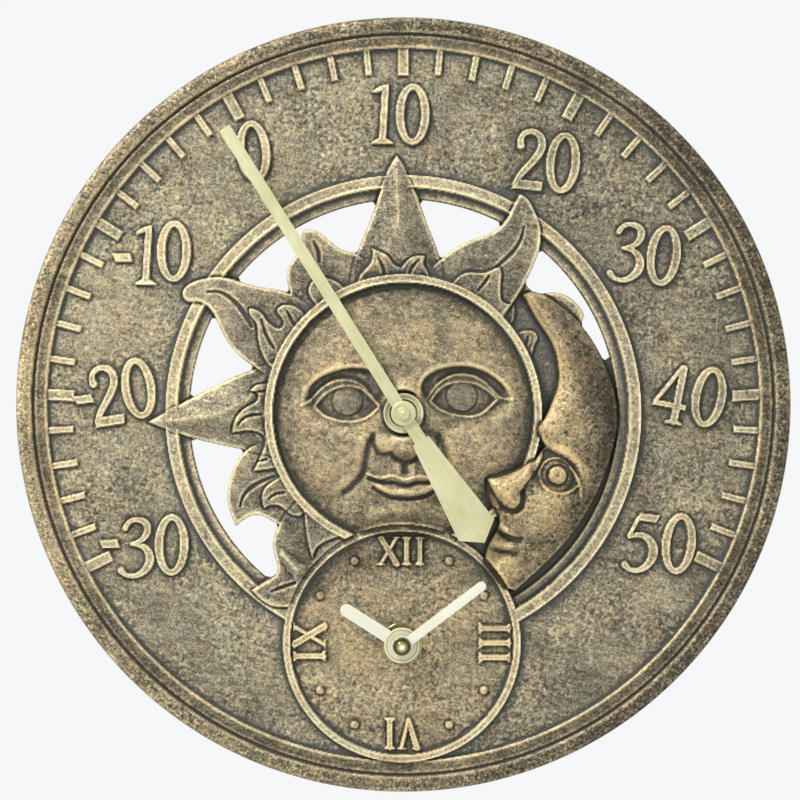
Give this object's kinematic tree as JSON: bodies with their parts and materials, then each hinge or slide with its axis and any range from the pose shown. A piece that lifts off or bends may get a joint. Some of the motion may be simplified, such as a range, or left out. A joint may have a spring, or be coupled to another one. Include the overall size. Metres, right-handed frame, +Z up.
{
  "type": "garden wall thermometer and clock",
  "caption": "Round cast wall dial for a garden: a bimetal thermometer pointer over a pierced sun and moon relief, with a small quartz clock below it.",
  "frame": {"origin": "centre of the disc on the wall plane, the plane of the casting's back rim", "axes": "+Z up the dial through the 10 degree mark, +Y into the wall, the face looks along -Y"},
  "size_m": [0.305, 0.0407, 0.305],
  "materials": {
    "bronze_resin": "cast resin with a dry-brushed antique bronze finish",
    "zinc_steel": "zinc-plated",
    "pale_gold": "pale gold, brushed",
    "brass": "turned",
    "bimetal": "rolled strip",
    "cream_paint": "satin cream",
    "black_plastic": "moulded, fine texture",
    "white_acetal": "moulded",
    "silicon_steel": "punched",
    "magnet": "bonded ferrite",
    "copper_wire": "enamelled winding",
    "green_board": "solder mask",
    "cell_label": "plain printed sleeve",
    "nickel": "nickel-plated",
    "black_rubber": "matt"
  },
  "bodies": {
    "wall_unit": {"dial_casting": "bronze_resin", "hanger_plate": "zinc_steel", "hanger_screws": "zinc_steel", "thermometer_cup": "pale_gold", "spindle_bush": "brass", "thermometer_housing": "zinc_steel", "housing_cover": "zinc_steel", "thermometer_retainer": "brass", "bimetal_coil": "bimetal", "coil_anchor": "zinc_steel", "movement_case": "black_plastic", "movement_bushing": "brass", "rear_case": "black_plastic", "wheel_bridge": "white_acetal", "stator": "silicon_steel", "rotor": "magnet", "drive_coil": "copper_wire", "circuit_board": "green_board", "battery_cell": "cell_label", "battery_contact_positive": "nickel", "battery_contact_negative": "nickel", "rubber_gasket": "black_rubber", "dial_washer": "brass", "shaft_nut": "brass"},
    "pointer": {"thermometer_pointer": "pale_gold", "pointer_hub": "pale_gold", "spindle_cap": "pale_gold", "pointer_spindle": "brass", "coil_collet": "brass"},
    "minute_work": {"centre_wheel": "white_acetal", "minute_hand": "cream_paint", "hand_cap_nut": "brass"},
    "hour_work": {"hour_wheel": "white_acetal", "hour_hand": "cream_paint"},
    "motion_wheel": {"minute_wheel": "white_acetal"},
    "set_knob": {"setting_knob": "black_plastic"},
    "third": {"third_wheel": "white_acetal"},
    "fourth": {"fourth_wheel": "white_acetal"}
  },
  "joints": [
    {"name": "pointer_turn", "type": "hinge", "parent": "wall_unit", "child": "pointer", "pos_m": [0, -0.03, -0.0034], "axis": [0, 1, 0], "range_deg": [-84, 148], "stiffness_Nm_per_rad": 0.004, "deforming": ["bimetal_coil"]},
    {"name": "minute_turn", "type": "hinge", "parent": "wall_unit", "child": "minute_work", "pos_m": [-0.0006, -0.03, -0.0938], "axis": [0, 1, 0], "continuous": true},
    {"name": "hour_turn", "type": "hinge", "parent": "wall_unit", "child": "hour_work", "pos_m": [-0.0006, -0.03, -0.0938], "axis": [0, 1, 0], "continuous": true},
    {"name": "motion_wheel_turn", "type": "hinge", "parent": "wall_unit", "child": "motion_wheel", "pos_m": [0.00518, -0.03, -0.08613], "axis": [0, 1, 0], "continuous": true},
    {"name": "set_knob_turn", "type": "hinge", "parent": "wall_unit", "child": "set_knob", "pos_m": [0.01333, -0.03, -0.08021], "axis": [0, 1, 0], "continuous": true},
    {"name": "third_wheel_turn", "type": "hinge", "parent": "wall_unit", "child": "third", "pos_m": [-0.00674, -0.03, -0.08565], "axis": [0, 1, 0], "continuous": true},
    {"name": "fourth_wheel_turn", "type": "hinge", "parent": "wall_unit", "child": "fourth", "pos_m": [-0.0006, -0.03, -0.0938], "axis": [0, 1, 0], "continuous": true}
  ],
  "couplings": [
    {"joint": "hour_turn", "follows": "minute_turn", "ratio": 0.083333},
    {"joint": "motion_wheel_turn", "follows": "minute_turn", "ratio": -0.33333},
    {"joint": "set_knob_turn", "follows": "minute_turn", "ratio": 0.83333},
    {"joint": "third_wheel_turn", "follows": "minute_turn", "ratio": -7.5},
    {"joint": "fourth_wheel_turn", "follows": "minute_turn", "ratio": 60}
  ]
}
